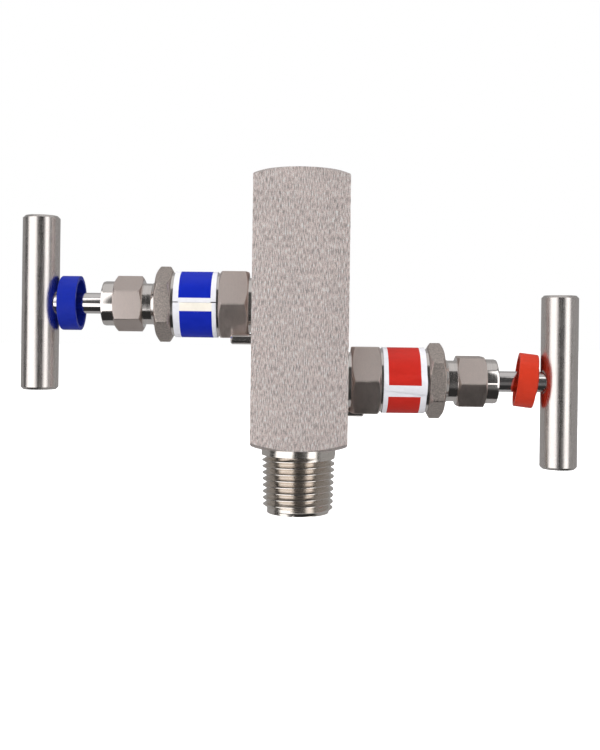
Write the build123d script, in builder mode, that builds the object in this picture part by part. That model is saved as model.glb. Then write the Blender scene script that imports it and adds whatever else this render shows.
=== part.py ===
from build123d import *
import os
from dataclasses import dataclass
from math import cos, radians, sin, tan

os.makedirs("parts", exist_ok=True)

# Two-valve block-and-bleed manifold, in millimetres.
# The origin is the middle of the male thread's end face, +Z runs up the block, +X is to the red valve.
# Along a valve, "out" is the distance from the block's own axis, straight out of its side face.

# ---- block and process thread ----
block_width = 27.0
corner_clearance = 1.1  # how far outside a bar's corners the cone that turns them off starts
block_height = 78.8
end_face_dia = 26.5  # flat left on each end, where the square bar is turned off to a shallow cone
end_face_slope = 21.0  # degrees, of that cone
thread_length = 16.6
thread_end_dia = 20.05
thread_taper = 1 / 16  # change of diameter along a pipe thread
thread_pitch = 1.814  # 14 turns to the inch
thread_depth = 1.4
thread_flank_angle = 30.0  # degrees between each flank and a plane square to the axis
thread_first_crest = 1.4  # height of the lowest turn
lead_ring_dia = 17.8  # plain ring that starts the thread in its socket
lead_ring_length = 0.65
collar_dia = 21.4
collar_height = 2.2

# ---- flow passages ----
process_bore_dia = 8.0
process_bore_depth = 21.0
feed_dia = 3.4  # sloping drilling from the process bore to the isolating valve
feed_start = 1.8  # how far off the block's axis it leaves the process bore
feed_rise = 2.5  # how far below the valve's axis it ends
outlet_dia = 3.8  # upright drilling from the instrument port past both seats
outlet_shift = 1.0
outlet_past_seat = 2.6  # how far below the bleed valve's axis it ends
drill_point_angle = 31.0  # degrees between a drill's lip and its flat
seat_dia = 3.6
seat_face_out = 4.2
chamber_dia = 9.0
chamber_length = 3.8
instrument_port_dia = 18.3
instrument_port_depth = 20.0
vent_port_dia = 11.2
vent_port_depth = 10.5
port_chamfer = 1.0

# ---- valve places ----
blue_height = 59.5
red_height = 38.4

# ---- bonnets ----
bonnet_thread_dia = 15.8
bonnet_gap = 1.3  # between the block's face and the hexagon
bonnet_hexagon = 19.0  # across flats
bonnet_hexagon_length = 8.2
barrel_dia = 18.2
barrel_length = 13.7
gasket_thickness = 0.8
gasket_inset = 0.2
thread_gap = 0.05  # radial clearance left where threads mesh
stem_nut_start = 8.2  # length of the bonnet's chamber ahead of the stem's thread
stem_nut_length = 9.0
back_seat_thickness = 1.2
packing_bore_dia = 10.0
packing_bore_length = 5.2
corner_bevel_angle = 28.0  # degrees, turned off the corners of every hexagon
corner_bevel_inset = 0.15  # how far inside the flats that bevel starts

# ---- labels ----
label_thickness = 0.35
label_length = 12.1
label_gap = 0.7  # bare ring between the hexagon and the label
label_clearance = 0.05
label_seam = 0.3

# ---- lock nuts and gland adjusters ----
lock_nut_hexagon = 19.0
lock_nut_thickness = 4.5
lock_nut_face_dia = 13.3
lock_nut_face_height = 1.4
lock_nut_face_lead = 0.75
gland_thread_dia = 11.8
gland_neck_length = 2.4
gland_thread_in = 3.5  # how far the gland adjuster is screwed into the bonnet
gland_nose_dia = 9.8
gland_hexagon = 14.0
gland_hexagon_length = 8.2
gland_collar_dia = 12.8
gland_collar_length = 3.6
gland_collar_round = 1.0

# ---- packing ----
packing_rings = 3
packing_washer_thickness = 1.0
packing_clearance = 0.05

# ---- stems and needles ----
stem_dia = 6.0
stem_thread_dia = 8.0
stem_thread_length = 8.3
stem_clearance = 0.1
needle_dia = 7.0
needle_half_angle = 30.0
needle_tip_dia = 1.2
needle_length = 11.3
seat_clearance = 0.1
swivel_head_dia = 4.0
swivel_neck_dia = 3.0
swivel_head_length = 2.0
swivel_neck_length = 2.1
swivel_clearance = 0.1
swivel_fit = 0.05

# ---- T-bar handles ----
handle_dia = 10.6
handle_length = 50.0
handle_chamfer = 0.7
handle_reach = 18.3  # from the end of the gland's collar to the bar's axis
handle_hole_past_axis = 2.0
handle_fit = 0.05
set_screw_dia = 4.0
set_screw_sunk = 0.4
set_screw_key = 2.0
set_screw_key_depth = 1.6

# ---- dust caps ----
cap_dia = 15.6
cap_length = 5.4
cap_wall = 1.1
cap_end_thickness = 1.0
cap_hub_dia = 7.6
cap_hub_height = 0.6
cap_hole_dia = 6.8
cap_round = 0.5
blue_cap_stand_off = 0.4  # between the cap's hub and the handle
red_cap_stand_off = 1.0
red_cap_tilt = 6.5  # degrees, top towards the handle
red_cap_yaw = 8.0  # degrees, near side towards the block

# ---- lock pins ----
pin_dia = 3.0
pin_depth = 5.0
pin_chamfer = 0.4
pin_clearance = 0.05
pin_along_flat = 4.9  # from the middle of the hexagon's flat towards its lower corner
blue_pin_height = 6.0
red_pin_height = 5.6

# ---- places worked out from the sizes above ----
face_out = block_width / 2
block_bottom = thread_length + collar_height
block_top = block_bottom + block_height
hexagon_out = face_out + bonnet_gap
barrel_out = hexagon_out + bonnet_hexagon_length
lock_nut_out = barrel_out + barrel_length
lock_nut_face_out = lock_nut_out + lock_nut_thickness
lock_nut_end_out = lock_nut_face_out + lock_nut_face_height
gland_hexagon_out = lock_nut_end_out + gland_neck_length
gland_collar_out = gland_hexagon_out + gland_hexagon_length
gland_end_out = gland_collar_out + gland_collar_length
handle_out = gland_end_out + handle_reach

gasket_out = seat_face_out + chamber_length
bonnet_end_out = gasket_out + gasket_thickness
stem_nut_out = bonnet_end_out + stem_nut_start
back_seat_out = stem_nut_out + stem_nut_length
packing_out = back_seat_out + back_seat_thickness
packing_bore_end_out = packing_out + packing_bore_length
gland_shank_out = lock_nut_out - gland_thread_in
packing_end_out = gland_shank_out - packing_washer_thickness
ring_thickness = (packing_end_out - packing_out - packing_washer_thickness) / packing_rings

seat_slope = tan(radians(needle_half_angle))
needle_tip_out = seat_face_out + seat_clearance - (seat_dia - needle_tip_dia) / 2 / seat_slope
needle_shoulder_out = needle_tip_out + (needle_dia - needle_tip_dia) / 2 / seat_slope
needle_end_out = needle_tip_out + needle_length
stem_thread_out = needle_end_out + 2 * swivel_clearance
swivel_neck_out = stem_thread_out - swivel_neck_length
swivel_head_out = swivel_neck_out - swivel_head_length
handle_hole_out = handle_out + handle_hole_past_axis
handle_back_out = handle_out + handle_dia / 2


@dataclass
class Valve:
    """One valve: its name, the side it stands on, its height and what differs from its twin."""

    name: str
    side: int  # -1 on the left, +1 on the right
    height: float
    gland_turn: float  # degrees the gland's hexagon is turned from a corner level with its axis
    seam_angle: float  # degrees round from the local x axis
    pin_height: float

    def axis(self):
        """The valve's own axis, pointing out of the block."""
        return Axis((0, 0, self.height), (self.side, 0, 0))

    def across(self, out):
        """Plane square to the axis; local y is up, local x is towards the lock pin's side."""
        return Plane((self.side * out, 0, self.height), x_dir=(0, self.side, 0), z_dir=(self.side, 0, 0))

    def section(self):
        """Plane along the axis, for half-sections: local x is the distance out, local y is the radius."""
        return Plane((0, 0, self.height), x_dir=(self.side, 0, 0), z_dir=(0, -self.side, 0))


blue = Valve("blue", -1, blue_height, 35.0, 2.0, blue_pin_height)
red = Valve("red", 1, red_height, 4.0, 197.0, red_pin_height)


def save(piece, label):
    """Label a finished piece and write it as its own STEP file."""
    piece.part.label = label
    export_step(piece.part, f"parts/{label}.step")


def step(start, end, radius):
    """One step of a turned half-section."""
    with Locations((start, 0)):
        Rectangle(end - start, radius, align=(Align.MIN, Align.MIN))


def bored(valve, start, end, diameter):
    """Bore the current part along a valve's axis from one distance out to another."""
    with BuildSketch(valve.across(start)) as hole:
        Circle(diameter / 2)
    extrude(hole.sketch, amount=end - start, mode=Mode.SUBTRACT)


def hexagon_bar(valve, start, end, across_flats, turn):
    """A length of hexagon bar with its corners turned off to a flat cone at both ends."""
    with BuildSketch(valve.across(start)) as hexagon:
        RegularPolygon(across_flats / 2, 6, major_radius=False, rotation=turn)
    extrude(hexagon.sketch, amount=end - start)
    bevel_radius = across_flats / 2 - corner_bevel_inset
    outer = across_flats / 2 / cos(radians(30)) + corner_clearance
    drop = (outer - bevel_radius) * tan(radians(corner_bevel_angle))
    with BuildSketch(valve.section()) as turned:
        Polygon(
            (start, 0),
            (start, bevel_radius),
            (start + drop, outer),
            (end - drop, outer),
            (end, bevel_radius),
            (end, 0),
        )
    revolve(turned.sketch, axis=valve.axis(), mode=Mode.INTERSECT)


def drilled(top_plane, diameter, depth):
    """A blind hole with a drill's point, cut into the current part down a plane's -Z."""
    radius = diameter / 2
    point = radius * tan(radians(drill_point_angle))
    side_plane = Plane(top_plane.origin, x_dir=top_plane.x_dir, z_dir=top_plane.y_dir)
    with BuildSketch(side_plane) as half:
        Polygon((0, 0), (radius, 0), (radius, depth), (0, depth + point))
    revolve(half.sketch, axis=Axis(top_plane.origin, top_plane.z_dir), mode=Mode.SUBTRACT)


# ---- block: square bar with turned ends, collar and tapered pipe thread ----
thread_top_dia = thread_end_dia + thread_length * thread_taper
groove_width = 2 * thread_depth * tan(radians(thread_flank_angle))
first_groove = thread_first_crest + thread_pitch / 2
thread_grooves = 1 + int((thread_length - first_groove - groove_width / 2) / thread_pitch)
bar_corner = block_width / 2 / cos(radians(45)) + corner_clearance
end_drop = (bar_corner - end_face_dia / 2) * tan(radians(end_face_slope))

with BuildPart() as block:
    with BuildSketch(Plane.XY.offset(block_bottom)):
        Rectangle(block_width, block_width)
    extrude(amount=block_height)
    with BuildSketch(Plane.XZ):
        Polygon(
            (0, block_bottom),
            (end_face_dia / 2, block_bottom),
            (bar_corner, block_bottom + end_drop),
            (bar_corner, block_top - end_drop),
            (end_face_dia / 2, block_top),
            (0, block_top),
        )
    revolve(axis=Axis.Z, mode=Mode.INTERSECT)
    with BuildSketch(Plane.XZ):
        Polygon(
            (0, 0),
            (lead_ring_dia / 2, 0),
            (lead_ring_dia / 2, lead_ring_length),
            ((thread_end_dia + thread_first_crest * thread_taper) / 2, thread_first_crest),
            (thread_top_dia / 2, thread_length),
            (collar_dia / 2, thread_length),
            (collar_dia / 2, block_bottom),
            (0, block_bottom),
        )
    revolve(axis=Axis.Z)

    # The thread's grooves, as rings: each is a V sunk square into the cone
    with BuildSketch(Plane.XZ):
        for turn in range(thread_grooves):
            groove_height = first_groove + turn * thread_pitch
            crest_radius = (thread_end_dia + groove_height * thread_taper) / 2
            with Locations((crest_radius, groove_height)):
                Polygon((-thread_depth, 0), (thread_depth, groove_width), (thread_depth, -groove_width))
    revolve(axis=Axis.Z, mode=Mode.SUBTRACT)

    # Bonnet sockets, chambers and seats, with both seats opening into the upright outlet
    for valve in (blue, red):
        bored(valve, gasket_out, face_out, bonnet_thread_dia + 2 * thread_gap)
        bored(valve, seat_face_out, gasket_out, chamber_dia)
        bored(valve, valve.side * outlet_shift, seat_face_out, seat_dia)

    # Instrument port and the outlet below it
    drilled(Plane.XY.offset(block_top), instrument_port_dia, instrument_port_depth)
    outlet_top = Plane((outlet_shift, 0, block_top - instrument_port_depth))
    drilled(outlet_top, outlet_dia, outlet_top.origin.Z - red_height + outlet_past_seat)

    # Process bore and the sloping feed to the isolating valve's chamber
    drilled(Plane((0, 0, 0), z_dir=(0, 0, -1)), process_bore_dia, process_bore_depth)
    feed_foot = Vector(-feed_start, 0, process_bore_depth - feed_dia / 2)
    feed_head = Vector(-(seat_face_out + gasket_out) / 2, 0, blue_height - feed_rise)
    feed_run = feed_head - feed_foot
    with BuildSketch(Plane(feed_foot, x_dir=(0, 1, 0), z_dir=feed_run)):
        Circle(feed_dia / 2)
    extrude(amount=feed_run.length, mode=Mode.SUBTRACT)

    # Vent port: its flat-bottomed hole breaks into the bleed valve's chamber
    vent_mouth = Plane((0, face_out, red_height), x_dir=(1, 0, 0), z_dir=(0, 1, 0))
    with BuildSketch(vent_mouth):
        Circle(vent_port_dia / 2)
    extrude(amount=-vent_port_depth, mode=Mode.SUBTRACT)

    port_mouths = block.edges().filter_by(GeomType.CIRCLE)
    top_mouth = port_mouths.group_by(Axis.Z)[-1].filter_by(lambda edge: edge.radius == instrument_port_dia / 2)
    back_mouth = port_mouths.group_by(Axis.Y)[-1].filter_by(lambda edge: edge.radius == vent_port_dia / 2)
    chamfer(top_mouth + back_mouth, port_chamfer)

    # Holes for the pins that lock the bonnets
    pin_normal = bonnet_hexagon / 2 + pin_clearance + pin_dia / 2
    pin_x = pin_normal * cos(radians(30)) - pin_along_flat * sin(radians(30))
    pin_y = -pin_normal * sin(radians(30)) - pin_along_flat * cos(radians(30))
    for valve in (blue, red):
        with BuildSketch(valve.across(face_out)):
            with Locations((pin_x, pin_y)):
                Circle(pin_dia / 2)
        extrude(amount=-pin_depth, mode=Mode.SUBTRACT)

save(block, "block")


def make_lock_pin(valve):
    """Pin that stands in the block's side against a flat of the bonnet."""
    with BuildPart() as lock_pin:
        with BuildSketch(valve.across(face_out - pin_depth)):
            with Locations((pin_x, pin_y)):
                Circle(pin_dia / 2)
        extrude(amount=pin_depth + valve.pin_height)
        chamfer(lock_pin.edges().group_by(Axis.X)[0 if valve.side < 0 else -1], pin_chamfer)
    save(lock_pin, f"{valve.name}_lock_pin")


def make_gasket(valve):
    """Flat ring that seals the bonnet to the block."""
    with BuildPart() as gasket:
        with BuildSketch(valve.across(gasket_out)):
            Circle(bonnet_thread_dia / 2 - gasket_inset)
            Circle(chamber_dia / 2 + gasket_inset, mode=Mode.SUBTRACT)
        extrude(amount=gasket_thickness)
    save(gasket, f"{valve.name}_bonnet_gasket")


def make_bonnet(valve):
    """Bonnet: hexagon, barrel and screwed spigot, bored for the needle, stem, packing and gland."""
    with BuildPart() as bonnet:
        hexagon_bar(valve, hexagon_out, barrel_out, bonnet_hexagon, 0)
        with BuildSketch(valve.section()):
            step(bonnet_end_out, hexagon_out, bonnet_thread_dia / 2)
            step(barrel_out, lock_nut_out, barrel_dia / 2)
        revolve(axis=valve.axis())
        bored(valve, bonnet_end_out, stem_nut_out, chamber_dia)
        bored(valve, stem_nut_out, back_seat_out, stem_thread_dia + 2 * thread_gap)
        bored(valve, back_seat_out, packing_out, stem_dia + 2 * stem_clearance)
        bored(valve, packing_out, packing_bore_end_out, packing_bore_dia)
        bored(valve, packing_bore_end_out, lock_nut_out, gland_thread_dia + 2 * thread_gap)
    save(bonnet, f"{valve.name}_bonnet")


def make_label(valve):
    """Printed band wrapped once round the bonnet's barrel, its two ends meeting at a seam."""
    inner = barrel_dia / 2 + label_clearance
    with BuildPart() as label:
        with BuildSketch(valve.across(barrel_out + label_gap)):
            Circle(inner + label_thickness)
            Circle(inner, mode=Mode.SUBTRACT)
            with Locations(Location((0, 0), valve.seam_angle)):
                Rectangle(barrel_dia, label_seam, align=(Align.MIN, Align.CENTER), mode=Mode.SUBTRACT)
        extrude(amount=label_length)
    save(label, f"{valve.name}_label")


def make_lock_nut(valve):
    """Thin nut with a small raised face, jammed against the end of the barrel."""
    with BuildPart() as lock_nut:
        hexagon_bar(valve, lock_nut_out, lock_nut_face_out, lock_nut_hexagon, 30)
        face_radius = lock_nut_face_dia / 2
        with BuildSketch(valve.section()):
            Polygon(
                (lock_nut_face_out, 0),
                (lock_nut_face_out, face_radius),
                (lock_nut_end_out, face_radius - lock_nut_face_lead),
                (lock_nut_end_out, 0),
            )
        revolve(axis=valve.axis())
        bored(valve, lock_nut_out, lock_nut_end_out, gland_thread_dia + 2 * thread_gap)
    save(lock_nut, f"{valve.name}_lock_nut")


def make_gland(valve):
    """Gland adjuster: hexagon and round collar outside, screwed shank and packing nose inside."""
    with BuildPart() as gland:
        hexagon_bar(valve, gland_hexagon_out, gland_collar_out, gland_hexagon, valve.gland_turn)
        with BuildSketch(valve.section()):
            step(packing_end_out, gland_shank_out, gland_nose_dia / 2)
            step(gland_shank_out, gland_hexagon_out, gland_thread_dia / 2)
            step(gland_collar_out, gland_end_out, gland_collar_dia / 2)
        revolve(axis=valve.axis())
        fillet(gland.edges().group_by(Axis.X)[0 if valve.side < 0 else -1], gland_collar_round)
        bored(valve, packing_end_out, gland_end_out, stem_dia + 2 * stem_clearance)
    save(gland, f"{valve.name}_gland_adjuster")


def make_packing_ring(valve, label, start, thickness):
    """One ring of the stem's packing, or the steel washer that backs it."""
    with BuildPart() as ring:
        with BuildSketch(valve.across(start)):
            Circle(packing_bore_dia / 2 - packing_clearance)
            Circle(stem_dia / 2 + packing_clearance, mode=Mode.SUBTRACT)
        extrude(amount=thickness)
    save(ring, f"{valve.name}_{label}")


def make_needle(valve):
    """Needle that slides without turning; a closed socket in its back holds the stem's swivel head."""
    with BuildPart() as needle:
        with BuildSketch(valve.section()):
            Polygon(
                (needle_tip_out, 0),
                (needle_tip_out, needle_tip_dia / 2),
                (needle_shoulder_out, needle_dia / 2),
                (needle_end_out, needle_dia / 2),
                (needle_end_out, 0),
            )
        revolve(axis=valve.axis())
        socket_end = swivel_neck_out + swivel_clearance
        bored(valve, swivel_head_out - swivel_clearance, socket_end, swivel_head_dia + 2 * swivel_fit)
        bored(valve, socket_end, needle_end_out, swivel_neck_dia + 2 * swivel_fit)
    save(needle, f"{valve.name}_needle")


def make_stem(valve):
    """Stem: swivel head, threaded length, and the plain shaft out to the handle."""
    stem_thread_end = stem_thread_out + stem_thread_length
    with BuildPart() as stem:
        with BuildSketch(valve.section()):
            step(swivel_head_out, swivel_neck_out, swivel_head_dia / 2)
            step(swivel_neck_out, stem_thread_out, swivel_neck_dia / 2)
            step(stem_thread_out, stem_thread_end, stem_thread_dia / 2)
            step(stem_thread_end, handle_hole_out, stem_dia / 2)
        revolve(axis=valve.axis())
    save(stem, f"{valve.name}_stem")


def make_handle(valve):
    """Plain round T-bar with a blind cross hole for the stem and a tapped hole behind it."""
    with BuildPart() as handle:
        with BuildSketch(Plane((valve.side * handle_out, 0, valve.height - handle_length / 2))):
            Circle(handle_dia / 2)
        extrude(amount=handle_length)
        chamfer(handle.edges().filter_by(GeomType.CIRCLE), handle_chamfer)
        bored(valve, handle_out - handle_dia, handle_hole_out, stem_dia + 2 * handle_fit)
        bored(valve, handle_hole_out, handle_back_out + handle_dia, set_screw_dia + 2 * handle_fit)
    save(handle, f"{valve.name}_t_bar")


def make_set_screw(valve):
    """Socket set screw that holds the stem's end in the T-bar."""
    screw_end = handle_back_out - set_screw_sunk
    with BuildPart() as set_screw:
        with BuildSketch(valve.across(handle_hole_out)):
            Circle(set_screw_dia / 2)
        extrude(amount=screw_end - handle_hole_out)
        with BuildSketch(valve.across(screw_end)):
            RegularPolygon(set_screw_key / 2, 6, major_radius=False)
        extrude(amount=-set_screw_key_depth, mode=Mode.SUBTRACT)
    save(set_screw, f"{valve.name}_set_screw")


def make_cap(valve, stand_off, tilt, yaw):
    """Loose dust cap on the stem: open towards the gland, closed with a small hub towards the handle."""
    hub_face_out = handle_out - handle_dia / 2 - stand_off
    facing = Vector(valve.side, 0, 0).rotate(Axis.Y, valve.side * tilt).rotate(Axis.Z, valve.side * -yaw)
    hub_face = Plane((valve.side * hub_face_out, 0, valve.height), z_dir=facing)
    end_face = hub_face.offset(-cap_hub_height)
    with BuildPart() as cap:
        with BuildSketch(end_face):
            Circle(cap_dia / 2)
        extrude(amount=-cap_length)
        fillet(cap.faces().sort_by(Axis(end_face.origin, facing))[-1].edges(), cap_round)
        with BuildSketch(end_face):
            Circle(cap_hub_dia / 2)
        extrude(amount=cap_hub_height)
        with BuildSketch(end_face.offset(-cap_length)):
            Circle(cap_dia / 2 - cap_wall)
        extrude(amount=cap_length - cap_end_thickness, mode=Mode.SUBTRACT)
        with BuildSketch(hub_face):
            Circle(cap_hole_dia / 2)
        extrude(amount=-cap_length, mode=Mode.SUBTRACT)
    save(cap, f"{valve.name}_dust_cap")


for valve in (blue, red):
    make_lock_pin(valve)
    make_gasket(valve)
    make_bonnet(valve)
    make_label(valve)
    make_lock_nut(valve)
    make_gland(valve)
    make_packing_ring(valve, "packing_washer", packing_out, packing_washer_thickness)
    for number in range(packing_rings):
        ring_start = packing_out + packing_washer_thickness + number * ring_thickness
        make_packing_ring(valve, f"packing_ring_{number + 1}", ring_start, ring_thickness)
    make_needle(valve)
    make_stem(valve)
    make_handle(valve)
    make_set_screw(valve)

make_cap(blue, blue_cap_stand_off, 0, 0)
make_cap(red, red_cap_stand_off, red_cap_tilt, red_cap_yaw)
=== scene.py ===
from functools import partial
from math import atan, atan2, cos, degrees, pi, radians, sin, sqrt, tan

import bmesh
import bpy
from mathutils import Matrix, Vector


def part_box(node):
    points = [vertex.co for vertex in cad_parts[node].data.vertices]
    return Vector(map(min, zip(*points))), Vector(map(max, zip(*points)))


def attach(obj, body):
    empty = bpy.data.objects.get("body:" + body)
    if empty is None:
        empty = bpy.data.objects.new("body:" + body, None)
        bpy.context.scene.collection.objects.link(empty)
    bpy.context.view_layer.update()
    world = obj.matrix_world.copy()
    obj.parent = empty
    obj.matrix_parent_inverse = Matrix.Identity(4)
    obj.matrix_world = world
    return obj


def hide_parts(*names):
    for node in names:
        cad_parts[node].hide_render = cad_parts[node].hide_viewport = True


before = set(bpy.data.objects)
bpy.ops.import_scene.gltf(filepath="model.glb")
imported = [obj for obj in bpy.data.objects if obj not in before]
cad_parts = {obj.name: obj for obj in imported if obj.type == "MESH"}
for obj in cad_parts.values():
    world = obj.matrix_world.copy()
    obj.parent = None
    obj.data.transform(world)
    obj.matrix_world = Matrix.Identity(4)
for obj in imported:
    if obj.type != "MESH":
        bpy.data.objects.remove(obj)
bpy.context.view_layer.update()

# ---------------------------------------------------------------- sizes
# Lengths are in metres and turns in degrees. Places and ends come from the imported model's boxes.
# A hexagon's turn is the angle of a flat's middle, up from facing the camera side. A port's plain is
# the length of its wall at the deep end that has no thread.

MM = 0.001
SIDES = {"blue": -1, "red": 1}  # blue valve on the left, red on the right

NIPPLE = {"pitch": 1.814 * MM, "depth": 1.4 * MM, "taper": 1 / 16, "end_radius": 10.025 * MM,
          "first_crest": 1.4 * MM, "length": 16.6 * MM, "ring_radius": 8.9 * MM, "ring_length": 0.65 * MM}
BLOCK_BOTTOM = 18.8 * MM
PORT_CHAMFER = 1.0 * MM
INSTRUMENT_PORT = {"pitch": 1.814 * MM, "depth": 1.2 * MM, "radius": 9.15 * MM, "length": 19.0 * MM,
                   "plain": 3.5 * MM}
VENT_PORT = {"pitch": 1.411 * MM, "depth": 0.9 * MM, "radius": 5.6 * MM, "length": 9.5 * MM,
             "plain": 2.5 * MM}
PORT_MOUTH_REACH = PORT_CHAMFER + 0.05 * MM  # how far a port's mouth reaches past its wall
PORT_DRILL_TIPS = {"top": 6 * MM, "back": 4 * MM}  # how far the drilled tips reach past the walls
NIPPLE_CORE_RADIUS = 7.0 * MM  # between the nipple's thread and its bore
SMALLEST = 0.01 * MM  # lengths below this count as nothing
MERGE = 0.0001 * MM  # points closer than this are one
SAME_WALL = 0.2 * MM  # how far a face's middle may lie off the wall that it belongs to
RUN_OUT = 0.5 * MM  # length over which a thread's grooves rise to nothing at its ends

CORNER_BEVEL = tan(radians(28))  # slope of the cone that turns off a hexagon's corners
CORNER_BEVEL_INSET = 0.15 * MM
BONNET_HEXAGON = {"across": 19.0 * MM, "length": 8.2 * MM, "turn": 30.0}
BONNET_SPIGOT_RADIUS = 7.9 * MM
BARREL_RADIUS = 9.1 * MM
BARREL_LENGTH = 13.7 * MM
BONNET_BORES = (  # (length, radius), from the inner end outwards
    (8.2 * MM, 4.5 * MM), (9.0 * MM, 4.05 * MM), (1.2 * MM, 3.1 * MM), (5.2 * MM, 5.0 * MM),
)
GLAND_THREAD_RADIUS = 5.9 * MM
GLAND_BORE_RADIUS = 5.95 * MM
STEM_BORE_RADIUS = 3.1 * MM
LOCK_NUT_HEXAGON = {"across": 19.0 * MM, "length": 4.5 * MM, "turn": 0.0}
LOCK_NUT_FACE_RADIUS = 6.65 * MM
GLAND_HEXAGON = {"blue": {"across": 14.0 * MM, "length": 8.2 * MM, "turn": 5.0},
                 "red": {"across": 14.0 * MM, "length": 8.2 * MM, "turn": 26.0}}
GLAND_NOSE_RADIUS = 4.9 * MM
GLAND_NOSE_LENGTH = 1.0 * MM
GLAND_COLLAR_RADIUS = 6.4 * MM
GLAND_COLLAR_LENGTH = 3.6 * MM
GLAND_COLLAR_ROUND = 0.8 * MM


def middle(node):
    """The middle of a node's box."""
    low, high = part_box(node)
    return (Vector(low) + Vector(high)) / 2


def out_span(node, side):
    """How far out from the block's axis a node starts and ends."""
    low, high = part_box(node)
    ends = sorted((side * low[0], side * high[0]))
    return ends[0], ends[1]


# ---------------------------------------------------------------- materials

# How noise is drawn out: marks run along the axes whose number is small.
ROUND_X = (1, 0.03, 0.03)  # marks that run round the X axis
ROUND_X_SHORT = (1, 0.3, 0.3)
ROUND_Z = (0.03, 0.03, 1)
ALONG_Z = (1, 1, 0.02)
ALONG_Z_SHORT = (1, 1, 0.14)
EVEN = (1, 1, 1)
LABEL_PEEL = 0.01 * MM  # depth of the labels' orange peel
PIT_SCALE = 5200  # noise cells in a metre
PATCH_SCALE = 160
PEEL_SCALE = 900
SCUFF_SCALE = 320


def new_material(name):
    """A material with a lone Principled shader; returns the material, its node tree and the shader."""
    material = bpy.data.materials.new(name)
    material.use_nodes = True
    tree = material.node_tree
    return material, tree, tree.nodes["Principled BSDF"]


def noise(tree, stretch, scale, detail=3.0, roughness=0.55):
    """Noise in the object's own coordinates, drawn out along the axes whose stretch is small."""
    coords = tree.nodes.new("ShaderNodeTexCoord")
    mapping = tree.nodes.new("ShaderNodeMapping")
    mapping.inputs["Scale"].default_value = stretch
    texture = tree.nodes.new("ShaderNodeTexNoise")
    texture.inputs["Scale"].default_value = scale
    texture.inputs["Detail"].default_value = detail
    texture.inputs["Roughness"].default_value = roughness
    tree.links.new(coords.outputs["Object"], mapping.inputs["Vector"])
    tree.links.new(mapping.outputs["Vector"], texture.inputs["Vector"])
    return texture.outputs["Fac"]


def spread(tree, value, low, high, start=0.35, end=0.65):
    """Turns the middle of a noise's range into numbers between low and high."""
    node = tree.nodes.new("ShaderNodeMapRange")
    node.inputs["From Min"].default_value = start
    node.inputs["From Max"].default_value = end
    node.inputs["To Min"].default_value = low
    node.inputs["To Max"].default_value = high
    tree.links.new(value, node.inputs["Value"])
    return node.outputs["Result"]


def product(tree, first, second):
    """Two numbers multiplied."""
    node = tree.nodes.new("ShaderNodeMath")
    node.operation = "MULTIPLY"
    tree.links.new(first, node.inputs[0])
    tree.links.new(second, node.inputs[1])
    return node.outputs["Value"]


def shaded(tree, colour, factor):
    """A colour made lighter or darker by a factor that varies over the surface."""
    node = tree.nodes.new("ShaderNodeVectorMath")
    node.operation = "SCALE"
    node.inputs[0].default_value = colour
    tree.links.new(factor, node.inputs["Scale"])
    return node.outputs["Vector"]


def bump_up(tree, shader, layers, edge):
    """Adds (height, strength, depth) layers of bump over edges that look rounded by a radius."""
    bevel = tree.nodes.new("ShaderNodeBevel")
    bevel.samples = 6
    bevel.inputs["Radius"].default_value = edge
    normal = bevel.outputs["Normal"]
    for height, strength, depth in layers:
        bump = tree.nodes.new("ShaderNodeBump")
        bump.inputs["Strength"].default_value = strength
        bump.inputs["Distance"].default_value = depth
        tree.links.new(height, bump.inputs["Height"])
        tree.links.new(normal, bump.inputs["Normal"])
        normal = bump.outputs["Normal"]
    tree.links.new(normal, shader.inputs["Normal"])


def steel(name, colour, roughness, grain, scale, depth, contrast, speckle=0.0, edge=0.08 * MM):
    """Stainless steel.

    Tool marks run along the axes that grain makes small; contrast is how far they lighten and
    darken the metal, speckle does the same for fine pits, and depth is how deep both are.
    """
    material, tree, shader = new_material(name)
    shader.inputs["Metallic"].default_value = 1.0
    marks = noise(tree, grain, scale)
    pits = noise(tree, EVEN, PIT_SCALE, detail=2.0)
    patches = noise(tree, EVEN, PATCH_SCALE, detail=4.0)
    marks_shade = spread(tree, marks, 1 - contrast, 1 + contrast)
    pits_shade = spread(tree, pits, 1 - speckle, 1 + speckle)
    tree.links.new(shaded(tree, colour, product(tree, marks_shade, pits_shade)), shader.inputs["Base Color"])
    marks_gloss = spread(tree, marks, 0.85 * roughness, 1.15 * roughness)
    patch_gloss = spread(tree, patches, 0.93, 1.07)
    tree.links.new(product(tree, marks_gloss, patch_gloss), shader.inputs["Roughness"])
    bump_up(tree, shader, [(marks, 0.5, depth), (pits, min(1.0, 4 * speckle), depth)], edge)
    return material


def plastic(name, colour, roughness, texture_depth=0.02 * MM, shine=0.15):
    """Smooth plastic with a faint orange peel and handling marks in its gloss."""
    material, tree, shader = new_material(name)
    shader.inputs["Specular IOR Level"].default_value = shine
    peel = noise(tree, EVEN, PEEL_SCALE, detail=2.0)
    scuffs = noise(tree, (1, 3, 1), SCUFF_SCALE, detail=6.0, roughness=0.7)
    tree.links.new(shaded(tree, colour, spread(tree, scuffs, 0.95, 1.05)), shader.inputs["Base Color"])
    tree.links.new(spread(tree, scuffs, 0.8 * roughness, 1.3 * roughness), shader.inputs["Roughness"])
    bump_up(tree, shader, [(peel, 0.25, texture_depth)], 0.12 * MM)
    return material


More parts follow.
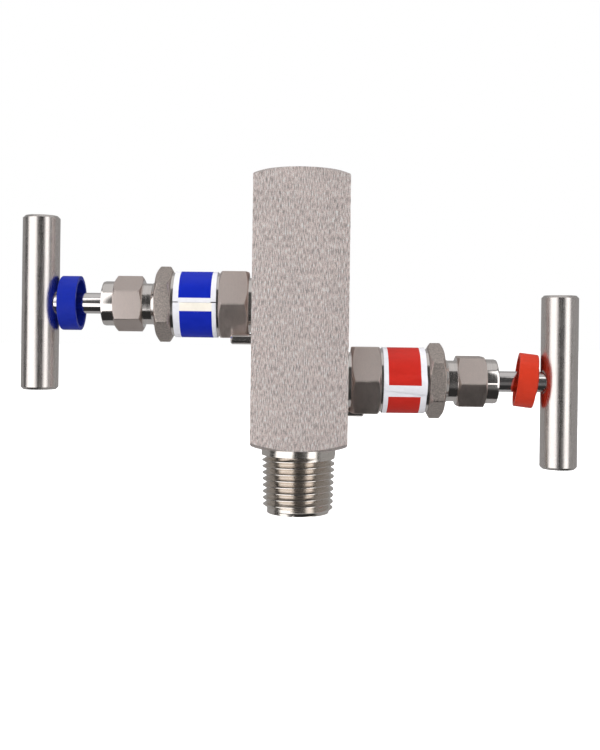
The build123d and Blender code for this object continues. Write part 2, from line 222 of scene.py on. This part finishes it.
MATERIALS = {
    "block": steel("block_steel", (0.86, 0.75, 0.72), 0.60, ALONG_Z_SHORT, 4000, 0.02 * MM, 0.42, 0.20),
    "thread": steel("turned_thread_steel", (0.76, 0.71, 0.66), 0.20, ROUND_Z, 3000, 0.003 * MM, 0.03),
    "hexagon": steel("satin_hexagon_steel", (0.69, 0.60, 0.56), 0.44, ROUND_X_SHORT, 2600, 0.006 * MM,
                     0.03, 0.04),
    "nut": steel("lock_nut_steel", (0.58, 0.51, 0.47), 0.42, EVEN, 2000, 0.03 * MM, 0.20, 0.16),
    "turned": steel("turned_steel", (0.84, 0.79, 0.76), 0.13, ROUND_X, 2600, 0.004 * MM, 0.03),
    "t_bar": steel("turned_bar_steel", (0.70, 0.655, 0.63), 0.27, ALONG_Z, 3600, 0.006 * MM, 0.06, 0.02),
    "polished": steel("polished_stem_steel", (0.84, 0.80, 0.79), 0.10, ROUND_X, 3000, 0.002 * MM, 0.02),
    "seal": plastic("ptfe", (0.86, 0.85, 0.82), 0.45),
    "white_film": plastic("white_label_film", (0.71, 0.71, 0.75), 0.35, LABEL_PEEL),
    "cream_film": plastic("cream_label_tail", (0.80, 0.75, 0.66), 0.35, LABEL_PEEL),
    "blue_ink": plastic("blue_label_ink", (0.003, 0.016, 0.36), 0.40, LABEL_PEEL, 0.10),
    "red_ink": plastic("red_label_ink", (0.47, 0.020, 0.013), 0.40, LABEL_PEEL, 0.10),
    "blue_cap": plastic("blue_cap_plastic", (0.005, 0.018, 0.29), 0.40),
    "red_cap": plastic("red_cap_plastic", (0.51, 0.033, 0.012), 0.40),
}

NODE_FINISH = {
    "lock_pin": "turned", "bonnet_gasket": "seal", "packing_washer": "turned", "packing_ring_1": "seal",
    "packing_ring_2": "seal", "packing_ring_3": "seal", "needle": "polished", "stem": "polished",
    "t_bar": "t_bar", "set_screw": "nut",
}


def dress_nodes():
    """Gives every CAD node that stays its finish."""
    for name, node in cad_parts.items():
        colour, _, kind = name.partition("_")
        finish = f"{colour}_cap" if kind == "dust_cap" else NODE_FINISH.get(kind, "block")
        for slot in node.material_slots:
            slot.material = MATERIALS[finish]


# ---------------------------------------------------------------- mesh helpers

SHARP_ANGLE = radians(32)  # edges that turn by more stay sharp
CREST_FLAT = 0.11  # share of a thread's pitch
ROOT_FLAT = 0.02
EDGE = 0.10 * MM  # arc on the small turned edges
FACET_EDGE = 0.12 * MM  # arc where a hexagon's flats meet its cones
CONE_EDGE = 0.05 * MM  # arc where a cone meets the end face


def make_piece(name, bm, finishes, replaced):
    """Turns a bmesh into a smooth piece that rides on the fixed body and stands for a CAD node."""
    mesh = bpy.data.meshes.new(name)
    bmesh.ops.recalc_face_normals(bm, faces=bm.faces)
    bm.to_mesh(mesh)
    bm.free()
    if "custom_normal" in mesh.attributes:
        mesh.attributes.remove(mesh.attributes["custom_normal"])
    for finish in finishes:
        mesh.materials.append(MATERIALS[finish])
    piece = bpy.data.objects.new(name, mesh)
    bpy.context.collection.objects.link(piece)
    mesh.shade_smooth()
    mesh.set_sharp_from_angle(angle=SHARP_ANGLE)
    weigh = piece.modifiers.new("flat_faces_stay_flat", "WEIGHTED_NORMAL")
    weigh.keep_sharp = True
    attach(piece, "body")
    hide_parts(replaced)


def thread_surface(bm, place, start, end, pitch, phase, radius_at, steps=120):
    """Adds one right-handed 60 degree thread, open at both ends.

    place turns (distance along, radius, angle) into a point, and radius_at turns (distance along,
    share of the depth) into a radius. Rows follow the helix, so crests and roots are clean edges;
    the first crest at angle 0 is at phase.
    """
    crest, root = CREST_FLAT / 2, ROOT_FLAT / 2
    profile = ((-crest, 0.0), (crest, 0.0), (0.5 - root, 1.0), (0.5 + root, 1.0))
    first_turn = int((start - phase) / pitch) - 2
    last_turn = int((end - phase) / pitch) + 2
    rows = [(turn + share, depth) for turn in range(first_turn, last_turn) for share, depth in profile]
    columns = []
    for step in range(steps):
        column = []
        for turn, depth in rows:
            along = min(max(phase + pitch * (turn + step / steps), start), end)
            column.append(bm.verts.new(place(along, radius_at(along, depth), 2 * pi * step / steps)))
        columns.append(column)
    shift = len(profile)
    for step in range(steps):
        here = columns[step]
        there = columns[step + 1] if step + 1 < steps else columns[0][shift:]
        for row in range(len(there) - 1):
            bm.faces.new((here[row], there[row], there[row + 1], here[row + 1]))
    verts = [vert for column in columns for vert in column]
    bmesh.ops.remove_doubles(bm, verts=verts, dist=MERGE)


def hexagon_radius(across, corner_round, degrees_from_flat):
    """Distance from the axis to a hexagon with rounded corners."""
    half = across / 2
    turn = abs((degrees_from_flat + 30) % 60 - 30)
    centre = (half - corner_round) / cos(radians(30))
    flat_end = degrees(atan(centre * sin(radians(30)) / half))
    if turn <= flat_end:
        return half / cos(radians(turn))
    from_corner = radians(30 - turn)
    return centre * cos(from_corner) + sqrt(corner_round ** 2 - (centre * sin(from_corner)) ** 2)


def softened(section):
    """A closed section with each corner turned by a small arc.

    A section is a list of (out, radius, finish of the face that follows, size of the arc).
    """
    rows = []
    for index, (out, radius, finish, arc) in enumerate(section):
        corner = Vector((out, radius))
        before = Vector(section[index - 1][:2]) - corner
        after = Vector(section[(index + 1) % len(section)][:2]) - corner
        size = min(arc, 0.4 * before.length, 0.4 * after.length)
        arrive = corner + before.normalized() * size
        leave = corner + after.normalized() * size
        arc_finish = section[index - 1][2]
        rows.append((arrive, arc_finish))
        rows.append(((arrive + 2 * corner + leave) / 4, arc_finish))
        rows.append((leave, finish))
    return rows


def turned_columns(corner_round=4.0, flat_steps=10, corner_steps=4):
    """Angles round a hexagon, in degrees from a flat's middle, close together at its corners."""
    angles = []
    for side in range(6):
        for step in range(flat_steps):
            angles.append(60 * side - 30 + corner_round / 2 + (60 - corner_round) * step / flat_steps)
        for step in range(corner_steps):
            angles.append(60 * side + 30 - corner_round / 2 + corner_round * step / corner_steps)
    return angles


def turned_piece(name, valve, section_at, turn, finishes, replaced):
    """A piece turned about a valve's axis, whose closed section may differ from angle to angle."""
    side = SIDES[valve]
    height = middle(f"{valve}_stem").z
    bm = bmesh.new()
    columns = []
    for angle in turned_columns():
        rows = softened(section_at(angle))
        spin = radians(angle + turn)
        columns.append(([bm.verts.new((side * row.x, -row.y * cos(spin), height + side * row.y * sin(spin)))
                         for row, _ in rows], rows))
    for index, (here, rows) in enumerate(columns):
        there = columns[(index + 1) % len(columns)][0]
        for row in range(len(rows)):
            beyond = (row + 1) % len(rows)
            face = bm.faces.new((here[row], there[row], there[beyond], here[beyond]))
            face.material_index = rows[row][1]
    make_piece(name, bm, finishes, replaced)


def hexagon_rows(start, hexagon, angle, finish, arc=FACET_EDGE, corner_round=0.45 * MM):
    """The section of a hexagon whose corners are turned off to a flat cone at both ends."""
    end = start + hexagon["length"]
    radius = hexagon_radius(hexagon["across"], corner_round, angle)
    bevel_radius = hexagon["across"] / 2 - CORNER_BEVEL_INSET
    drop = (radius - bevel_radius) * CORNER_BEVEL
    return [(start, bevel_radius, finish, CONE_EDGE), (start + drop, radius, finish, arc),
            (end - drop, radius, finish, arc), (end, bevel_radius, finish, CONE_EDGE)]


# ---------------------------------------------------------------- block


def nipple_radius(along, depth):
    """The male thread: a tapered crest, cut back to the lead-in ring at its foot, fading at the collar."""
    crest = NIPPLE["end_radius"] + along * NIPPLE["taper"] / 2
    root = max(crest - NIPPLE["depth"], NIPPLE["ring_radius"])
    rise = (along - NIPPLE["ring_length"]) / (NIPPLE["first_crest"] - NIPPLE["ring_length"])
    lead = NIPPLE["ring_radius"] + (NIPPLE["end_radius"] - NIPPLE["ring_radius"]) * max(0.0, rise)
    crest = min(crest, lead)
    fade = min(1.0, (NIPPLE["length"] - along) / RUN_OUT)
    return crest - depth * fade * max(0.0, crest - root)


def port_radius(port, along, depth):
    """A female thread: its crests stay on the tapped hole's wall, which is plain at the deep end."""
    fade = min((along - port["plain"]) / port["pitch"], (port["length"] - along) / RUN_OUT)
    return port["radius"] + depth * min(1.0, max(0.0, fade)) * port["depth"]


def cut_thread(bm, is_wall, place, angle_of, length, pitch, phase, radius_at):
    """Swaps a plain or ringed wall of the block for a helical thread.

    place turns (distance along, radius, angle) into a point, angle_of turns a point back into its
    angle, and the rest is as in thread_surface.
    """
    bmesh.ops.delete(bm, geom=[face for face in bm.faces if is_wall(face)], context="FACES")
    rims = [edge for edge in bm.edges if edge.is_boundary]
    thread_surface(bm, place, 0.0, length, pitch, phase, radius_at)
    ends = edge_loops([edge for edge in bm.edges if edge.is_boundary and edge not in set(rims)])
    for rim in edge_loops(rims):
        nearest = min(ends, key=lambda end: (loop_centre(end) - loop_centre(rim)).length)
        in_order = [sorted(loop, key=lambda vert: angle_of(vert.co)) for loop in (rim, nearest)]
        fill_between(bm, *in_order, angle_of)


def edge_loops(edges):
    """The vertices of each closed loop that the edges form."""
    left = set(edges)
    loops = []
    while left:
        loop = set()
        front = [left.pop()]
        while front:
            for vert in front.pop().verts:
                loop.add(vert)
                joined = [edge for edge in vert.link_edges if edge in left]
                left.difference_update(joined)
                front += joined
        loops.append(loop)
    return loops


def loop_centre(loop):
    return sum((vert.co for vert in loop), Vector()) / len(loop)


def fill_between(bm, first, second, angle_of):
    """Fills the ring between two loops of vertices, each in order of angle, with triangles."""
    def next_angle(loop, index):
        following = index + 1
        return angle_of(loop[following % len(loop)].co) + 2 * pi * (following // len(loop))

    i = j = 0
    while i < len(first) or j < len(second):
        here, there = first[i % len(first)], second[j % len(second)]
        step_first = j == len(second) or (i < len(first) and next_angle(first, i) <= next_angle(second, j))
        if step_first:
            i += 1
        else:
            j += 1
        corner = first[i % len(first)] if step_first else second[j % len(second)]
        bm.faces.new((here, there, corner))


def build_block():
    """The block as the CAD has it, with helical threads on its nipple and in both its ports."""
    bm = bmesh.new()
    bm.from_mesh(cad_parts["block"].data)
    bmesh.ops.remove_doubles(bm, verts=bm.verts, dist=MERGE)
    top_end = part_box("block")[1][2] - PORT_CHAMFER
    top_start = top_end - INSTRUMENT_PORT["length"]
    vent_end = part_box("block")[1][1] - PORT_CHAMFER
    vent_start = vent_end - VENT_PORT["length"]
    vent_height = middle("red_stem").z

    def turn_about_z(point):
        return atan2(point.y, point.x) % (2 * pi)

    def turn_about_vent(point):
        return atan2(point.x, point.z - vent_height) % (2 * pi)

    def from_vent_axis(point):
        return Vector((point.x, point.z - vent_height)).length

    def is_nipple(face):
        centre = face.calc_center_median()
        return SMALLEST < centre.z < NIPPLE["length"] - SMALLEST and centre.xy.length > NIPPLE_CORE_RADIUS

    def is_top_wall(face):
        centre = face.calc_center_median()
        off_wall = abs(centre.xy.length - INSTRUMENT_PORT["radius"])
        return off_wall < SAME_WALL and top_start < centre.z < top_end

    def is_vent_wall(face):
        centre = face.calc_center_median()
        off_wall = abs(from_vent_axis(centre) - VENT_PORT["radius"])
        return off_wall < SAME_WALL and vent_start < centre.y < vent_end

    def is_turned(face):
        centre = face.calc_center_median()
        in_top = (centre.xy.length < INSTRUMENT_PORT["radius"] + PORT_MOUTH_REACH
                  and centre.z > top_start - PORT_DRILL_TIPS["top"])
        in_back = (from_vent_axis(centre) < VENT_PORT["radius"] + PORT_MOUTH_REACH
                   and centre.y > vent_start - PORT_DRILL_TIPS["back"])
        return in_top or in_back or centre.z < BLOCK_BOTTOM - SMALLEST

    def nipple_place(along, radius, turn):
        return radius * cos(turn), radius * sin(turn), along

    def top_place(along, radius, turn):
        return radius * cos(turn), radius * sin(turn), top_start + along

    def vent_place(along, radius, turn):
        return radius * sin(turn), vent_start + along, vent_height + radius * cos(turn)

    cut_thread(bm, is_nipple, nipple_place, turn_about_z, NIPPLE["length"], NIPPLE["pitch"],
               NIPPLE["first_crest"], nipple_radius)
    cut_thread(bm, is_top_wall, top_place, turn_about_z, INSTRUMENT_PORT["length"],
               INSTRUMENT_PORT["pitch"], 0.0, partial(port_radius, INSTRUMENT_PORT))
    cut_thread(bm, is_vent_wall, vent_place, turn_about_vent, VENT_PORT["length"], VENT_PORT["pitch"],
               0.0, partial(port_radius, VENT_PORT))
    for face in bm.faces:
        face.material_index = 1 if is_turned(face) else 0
    make_piece("manifold_block", bm, ("block", "thread"), "block")


# ---------------------------------------------------------------- bonnets, lock nuts and gland adjusters


def build_bonnet(valve):
    """Bonnet with a satin hexagon and a bright turned barrel."""
    start, end = out_span(f"{valve}_bonnet", SIDES[valve])
    barrel_start = end - BARREL_LENGTH
    hexagon_start = barrel_start - BONNET_HEXAGON["length"]

    def section(angle):
        rows = [(start, BONNET_SPIGOT_RADIUS, 1, EDGE), (hexagon_start, BONNET_SPIGOT_RADIUS, 0, EDGE)]
        rows += hexagon_rows(hexagon_start, BONNET_HEXAGON, angle, 0)
        rows += [(barrel_start, BARREL_RADIUS, 1, EDGE), (end, BARREL_RADIUS, 1, EDGE)]
        bores = []
        out = start
        for length, radius in BONNET_BORES:
            bores += [(out, radius, 1, EDGE), (out + length, radius, 1, EDGE)]
            out += length
        bores += [(out, GLAND_BORE_RADIUS, 1, EDGE), (end, GLAND_BORE_RADIUS, 1, EDGE)]
        return rows + bores[::-1]

    turned_piece(f"{valve}_turned_bonnet", valve, section, BONNET_HEXAGON["turn"], ("hexagon", "turned"),
                 f"{valve}_bonnet")


def build_lock_nut(valve):
    """Thin rough nut with a small raised face towards the gland adjuster."""
    start, end = out_span(f"{valve}_lock_nut", SIDES[valve])
    face_out = start + LOCK_NUT_HEXAGON["length"]

    def section(angle):
        rows = [(start, GLAND_BORE_RADIUS, 0, EDGE)]
        rows += hexagon_rows(start, LOCK_NUT_HEXAGON, angle, 0, arc=0.2 * MM, corner_round=0.6 * MM)
        rows += [(face_out, LOCK_NUT_FACE_RADIUS, 1, EDGE), (end, GLAND_BORE_RADIUS, 1, EDGE)]
        return rows

    turned_piece(f"{valve}_turned_lock_nut", valve, section, LOCK_NUT_HEXAGON["turn"], ("nut", "turned"),
                 f"{valve}_lock_nut")


def build_gland(valve):
    """Gland adjuster: bright shank and collar either side of a satin hexagon."""
    start, end = out_span(f"{valve}_gland_adjuster", SIDES[valve])
    hexagon = GLAND_HEXAGON[valve]
    collar_out = end - GLAND_COLLAR_LENGTH
    hexagon_start = collar_out - hexagon["length"]
    nose_end = start + GLAND_NOSE_LENGTH

    def section(angle):
        rows = [(start, STEM_BORE_RADIUS, 1, EDGE), (start, GLAND_NOSE_RADIUS, 1, EDGE),
                (nose_end, GLAND_NOSE_RADIUS, 1, EDGE), (nose_end, GLAND_THREAD_RADIUS, 1, EDGE),
                (hexagon_start, GLAND_THREAD_RADIUS, 1, EDGE)]
        rows += hexagon_rows(hexagon_start, hexagon, angle, 0)
        rows += [(collar_out, GLAND_COLLAR_RADIUS, 1, EDGE),
                 (end, GLAND_COLLAR_RADIUS, 1, GLAND_COLLAR_ROUND), (end, STEM_BORE_RADIUS, 1, EDGE)]
        return rows

    turned_piece(f"{valve}_turned_gland", valve, section, hexagon["turn"], ("hexagon", "turned"),
                 f"{valve}_gland_adjuster")


# ---------------------------------------------------------------- labels


def film(name, valve, grid, thickness, finish_at, finishes, replaced):
    """A closed film wrapped round the barrel, through a grid of (out, radius, degrees up) points."""
    side = SIDES[valve]
    height = middle(f"{valve}_stem").z
    bm = bmesh.new()
    top, under = ([[bm.verts.new((side * out, -(radius - drop) * cos(radians(angle)),
                                  height + (radius - drop) * sin(radians(angle))))
                    for out, radius, angle in line] for line in grid] for drop in (0.0, thickness))
    last_i = len(grid) - 1
    last_j = len(grid[0]) - 1
    for i in range(last_i):
        for j in range(last_j):
            cell = ((i, j), (i + 1, j), (i + 1, j + 1), (i, j + 1))
            face = bm.faces.new([top[a][b] for a, b in cell])
            face.material_index = finish_at(i, j)
            bm.faces.new([under[a][b] for a, b in cell])
    rim = [(i, 0) for i in range(last_i)] + [(last_i, j) for j in range(last_j)]
    rim += [(i, last_j) for i in range(last_i, 0, -1)] + [(0, j) for j in range(last_j, 0, -1)]
    for (a, b), (c, d) in zip(rim, rim[1:] + rim[:1]):
        bm.faces.new((top[a][b], top[c][d], under[c][d], under[a][b]))
    make_piece(name, bm, finishes, replaced)


def steps_between(start, end, largest):
    """Evenly spaced numbers from start up to, but not including, end."""
    count = max(1, round((end - start) / largest))
    return [start + (end - start) * step / count for step in range(count)]


FILM_THICKNESS = 0.28 * MM
LABEL_MARGINS = (1.3 * MM, 1.7 * MM)  # white at the hexagon's side and at the lock nut's side
NOTCH_STEP = 0.04 * MM  # width of the step between a notched margin and the band
FINE_TURN = 1.2  # degrees between lines near the film's ends
COARSE_TURN = 3.0
ALMOST = 1e-6

LOOSE_TURN = 26  # degrees over which the loose end stands off the barrel
LOOSE_LAP = (0.34 * MM, 0.12 * MM)  # lift at the hexagon's side, and what the other side has more
LOOSE_BULGE = (0.15 * MM, 0.75 * MM)
LOOSE_SLANT = 7.5  # degrees
LOOSE_SLANT_TURN = 8.7  # degrees over which the slant dies out
LAP_STEEPNESS = 1.6  # how much sooner than the bulge the lap is fully there


def build_label(valve, ends, ink, finishes, print_slip, notch, start_shape):
    """A printed film wrapped once round the barrel.

    Angles are in degrees up from facing the camera side. ends holds where the film starts upwards
    and where it ends a turn later, ink where its coloured band starts and ends, and finishes what
    its border, its band and its tail are. print_slip is how far the print runs out along the barrel
    over the turn, notch how far the film's start stands back at its margins, and
    start_shape(share of the width, degrees from the start) gives the lift and slant of its start.
    """
    node = f"{valve}_label"
    start, end = out_span(node, SIDES[valve])
    low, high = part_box(node)
    outer = (high[1] - low[1]) / 2
    ink_start, ink_end = ink[0], ink[1] + 360
    first, last = ends[0], ends[1] + 360
    angles = (steps_between(first, ink_start, FINE_TURN) + steps_between(ink_start, ink_end, COARSE_TURN)
              + steps_between(ink_end, last, FINE_TURN) + [last])
    band_start, band_end = start + LABEL_MARGINS[0], end - LABEL_MARGINS[1]
    outs = [start, band_start - NOTCH_STEP] + steps_between(band_start, band_end, 1.0 * MM)
    outs += [band_end, band_end + NOTCH_STEP, end]
    band = range(2, len(outs) - 3)

    def point(i, j):
        out, angle = outs[j], angles[i]
        lift, slant = start_shape((out - start) / (end - start), angle - first)
        if 0 < j < len(outs) - 1:
            out += print_slip * (0.5 - (angle - first) / (last - first))
        if i == 0 and (j < 2 or j > len(outs) - 3):
            slant += notch
        return out, outer + lift, angle + slant

    def finish_at(i, j):
        if j not in band or angles[i] < ink_start - ALMOST:
            return 0
        return 1 if angles[i] < ink_end - ALMOST else 2

    grid = [[point(i, j) for j in range(len(outs))] for i in range(len(angles))]
    film(f"{valve}_printed_label", valve, grid, FILM_THICKNESS, finish_at, finishes, node)


def flat_end(share, from_start):
    """The blue film's start lies flat and square."""
    return 0.0, 0.0


def loose_end(share, from_start):
    """The red film's start laps over its tail, slants, and bulges most at the lock nut's side."""
    reach = max(0.0, 1 - from_start / LOOSE_TURN)
    lap = (LOOSE_LAP[0] + LOOSE_LAP[1] * share) * min(1.0, LAP_STEEPNESS * reach)
    bulge = (LOOSE_BULGE[0] + LOOSE_BULGE[1] * share) * sin(pi * reach)
    slant = -LOOSE_SLANT * share * max(0.0, 1 - from_start / LOOSE_SLANT_TURN)
    return lap + bulge, slant


# ---------------------------------------------------------------- studio


def stage_piece(name, bm, material):
    """Adds a piece of the studio, which isn't part of the object."""
    mesh = bpy.data.meshes.new(name)
    bm.to_mesh(mesh)
    bm.free()
    mesh.materials.append(material)
    piece = bpy.data.objects.new(name, mesh)
    bpy.context.collection.objects.link(piece)
    return piece


def seen_directly(tree):
    """1 for rays from the camera, mirror rays and rays through glass, and 0 for diffuse light."""
    path = tree.nodes.new("ShaderNodeLightPath")
    total = path.outputs["Is Camera Ray"]
    for output in ("Is Glossy Ray", "Is Transmission Ray"):
        either = tree.nodes.new("ShaderNodeMath")
        either.operation = "MAXIMUM"
        tree.links.new(total, either.inputs[0])
        tree.links.new(path.outputs[output], either.inputs[1])
        total = either.outputs["Value"]
    return total


FLOOR_OWN_WHITE = 0.80  # how much of the floor's white doesn't depend on the light that falls on it


def build_floor():
    """A plain pale floor that is white to the eye and keeps the object's shadow."""
    material, tree, shader = new_material("floor_white")
    shader.inputs["Base Color"].default_value = (0.8, 0.8, 0.8, 1)
    shader.inputs["Roughness"].default_value = 1.0
    glow = tree.nodes.new("ShaderNodeEmission")
    level = tree.nodes.new("ShaderNodeMath")
    level.operation = "MULTIPLY"
    level.inputs[1].default_value = FLOOR_OWN_WHITE
    both = tree.nodes.new("ShaderNodeAddShader")
    tree.links.new(seen_directly(tree), level.inputs[0])
    tree.links.new(level.outputs["Value"], glow.inputs["Strength"])
    tree.links.new(shader.outputs[0], both.inputs[0])
    tree.links.new(glow.outputs[0], both.inputs[1])
    tree.links.new(both.outputs[0], tree.nodes["Material Output"].inputs["Surface"])
    bm = bmesh.new()
    bmesh.ops.create_grid(bm, x_segments=1, y_segments=1, size=4.0)
    piece = stage_piece("floor", bm, material)
    piece.visible_glossy = False


AMBIENT = 0.42  # level of the soft light from all round


def build_world():
    """White to the camera, and a plain soft light on everything else."""
    world = bpy.data.worlds.new("studio")
    bpy.context.scene.world = world
    world.use_nodes = True
    tree = world.node_tree
    background = tree.nodes["Background"]
    background.inputs["Color"].default_value = (1, 1, 1, 1)
    level = tree.nodes.new("ShaderNodeMapRange")
    level.inputs["To Min"].default_value = AMBIENT
    level.inputs["To Max"].default_value = 1.0
    tree.links.new(seen_directly(tree), level.inputs["Value"])
    tree.links.new(level.outputs["Result"], background.inputs["Strength"])


ROOM_RADIUS = 0.5
ROOM_CENTRE = Vector((0, 0, 0.05))
ROOM_STEP = 3  # degrees between its lines
SOFT_EDGE = 3.0  # degrees over which one part of the room turns into the next
WIDE = (-360, 360)

# Painted reflections, a glowing room that only polished metal sees: part, azimuth from the camera side
# towards +X, elevation, brightness.
ROOM = (
    ("walls", WIDE, WIDE, 0.36),
    ("ceiling", WIDE, (55, 360), 0.60),
    # The dark stands, the dark floor and the two halves of the table are painted shade and painted light in
    # the reflections; the scene's own floor is pale and hidden from glossy rays.
    ("dark stands beside the camera", (-97, 67), (-360, 55), 0.06),
    ("dark floor in front", (-120, 120), (-360, -42), 0.03),
    ("right half of the table", (14, 60), (-36, -6), 0.14),
    ("left half of the table", (-62, -17), (-36, -3), 2.0),
    ("left light box", (-73, -23), (-30, 52), 1.7),
    ("right light box", (29, 56), (-26, 50), 1.8),
)


def share_inside(value, span):
    """1 well inside a span, 0 well outside it, and a soft step at its ends."""
    inside = min(value - span[0], span[1] - value) / SOFT_EDGE + 0.5
    return min(1.0, max(0.0, inside))


def room_glow(azimuth, elevation):
    """Brightness of the room in one direction, each part laid over those before it."""
    glow = 0.0
    for _, azimuths, elevations, level in ROOM:
        glow += share_inside(azimuth, azimuths) * share_inside(elevation, elevations) * (level - glow)
    return glow


def build_room():
    """A glowing room of painted reflections that mirrors in the metal: seen only by glossy rays, so it gives
    no diffuse light.
    """
    bm = bmesh.new()
    layer = bm.loops.layers.float_color.new("glow")
    azimuths = range(-180, 181, ROOM_STEP)
    elevations = range(-90, 91, ROOM_STEP)
    grid = []
    for elevation in elevations:
        tilt = radians(elevation)
        ring = []
        for azimuth in azimuths:
            turn = radians(azimuth)
            way = Vector((cos(tilt) * sin(turn), -cos(tilt) * cos(turn), sin(tilt)))
            ring.append(bm.verts.new(ROOM_CENTRE + ROOM_RADIUS * way))
        grid.append(ring)
    for row in range(len(elevations) - 1):
        for column in range(len(azimuths) - 1):
            corners = ((row, column), (row, column + 1), (row + 1, column + 1), (row + 1, column))
            face = bm.faces.new([grid[a][b] for a, b in corners])
            for loop, (a, b) in zip(face.loops, corners):
                glow = room_glow(azimuths[b], elevations[a])
                loop[layer] = (glow, glow, glow, 1)
    material, tree, _ = new_material("painted_reflection_room")
    glow = tree.nodes.new("ShaderNodeEmission")
    colour = tree.nodes.new("ShaderNodeVertexColor")
    colour.layer_name = "glow"
    tree.links.new(colour.outputs["Color"], glow.inputs["Color"])
    tree.links.new(glow.outputs[0], tree.nodes["Material Output"].inputs["Surface"])
    room = stage_piece("painted_reflection_room", bm, material)
    room.visible_camera = False
    room.visible_diffuse = False
    room.visible_shadow = False
    room.visible_transmission = False


def add_light(name, place, size, watts):
    """A square soft light that points at the middle of the object."""
    data = bpy.data.lights.new(name, "AREA")
    data.size = size
    data.energy = watts
    light = bpy.data.objects.new(name, data)
    bpy.context.collection.objects.link(light)
    light.location = place
    aim = ROOM_CENTRE - Vector(place)
    light.rotation_euler = aim.to_track_quat("-Z", "Y").to_euler()
    light.visible_camera = False
    light.visible_glossy = False


def add_camera():
    """The photograph's view: level, near the middle of the block's height, rolled a little."""
    data = bpy.data.cameras.new("camera")
    data.lens = 47.3
    data.sensor_width = 36
    data.shift_y = -0.052
    data.clip_start = 0.01
    camera = bpy.data.objects.new("camera", data)
    bpy.context.collection.objects.link(camera)
    upright = Matrix.Rotation(radians(90), 4, "X")
    roll = Matrix.Rotation(radians(0.75), 4, "Z")
    camera.matrix_world = Matrix.Translation((0, -0.285, 0.0508)) @ upright @ roll
    bpy.context.scene.camera = camera


# ---------------------------------------------------------------- the whole part

add_camera()
dress_nodes()
build_block()
for valve in SIDES:
    build_bonnet(valve)
    build_lock_nut(valve)
    build_gland(valve)
build_label("blue", ends=(1.6, 1.4), ink=(9.6, -12.9), finishes=("white_film", "blue_ink", "cream_film"),
            print_slip=0.35 * MM, notch=1.5, start_shape=flat_end)
build_label("red", ends=(-14.5, -9.0), ink=(-5.8, -27.0), finishes=("white_film", "red_ink", "white_film"),
            print_slip=0.0, notch=0.0, start_shape=loose_end)

build_floor()
build_world()
build_room()
add_light("left_box", (-0.5, -0.45, 0.35), 0.5, 3.0)
add_light("right_box", (0.5, -0.5, 0.3), 0.4, 2.0)
add_light("top_box", (0.0, 0.1, 0.7), 0.6, 3.0)
bpy.context.scene.view_settings.view_transform = "Standard"
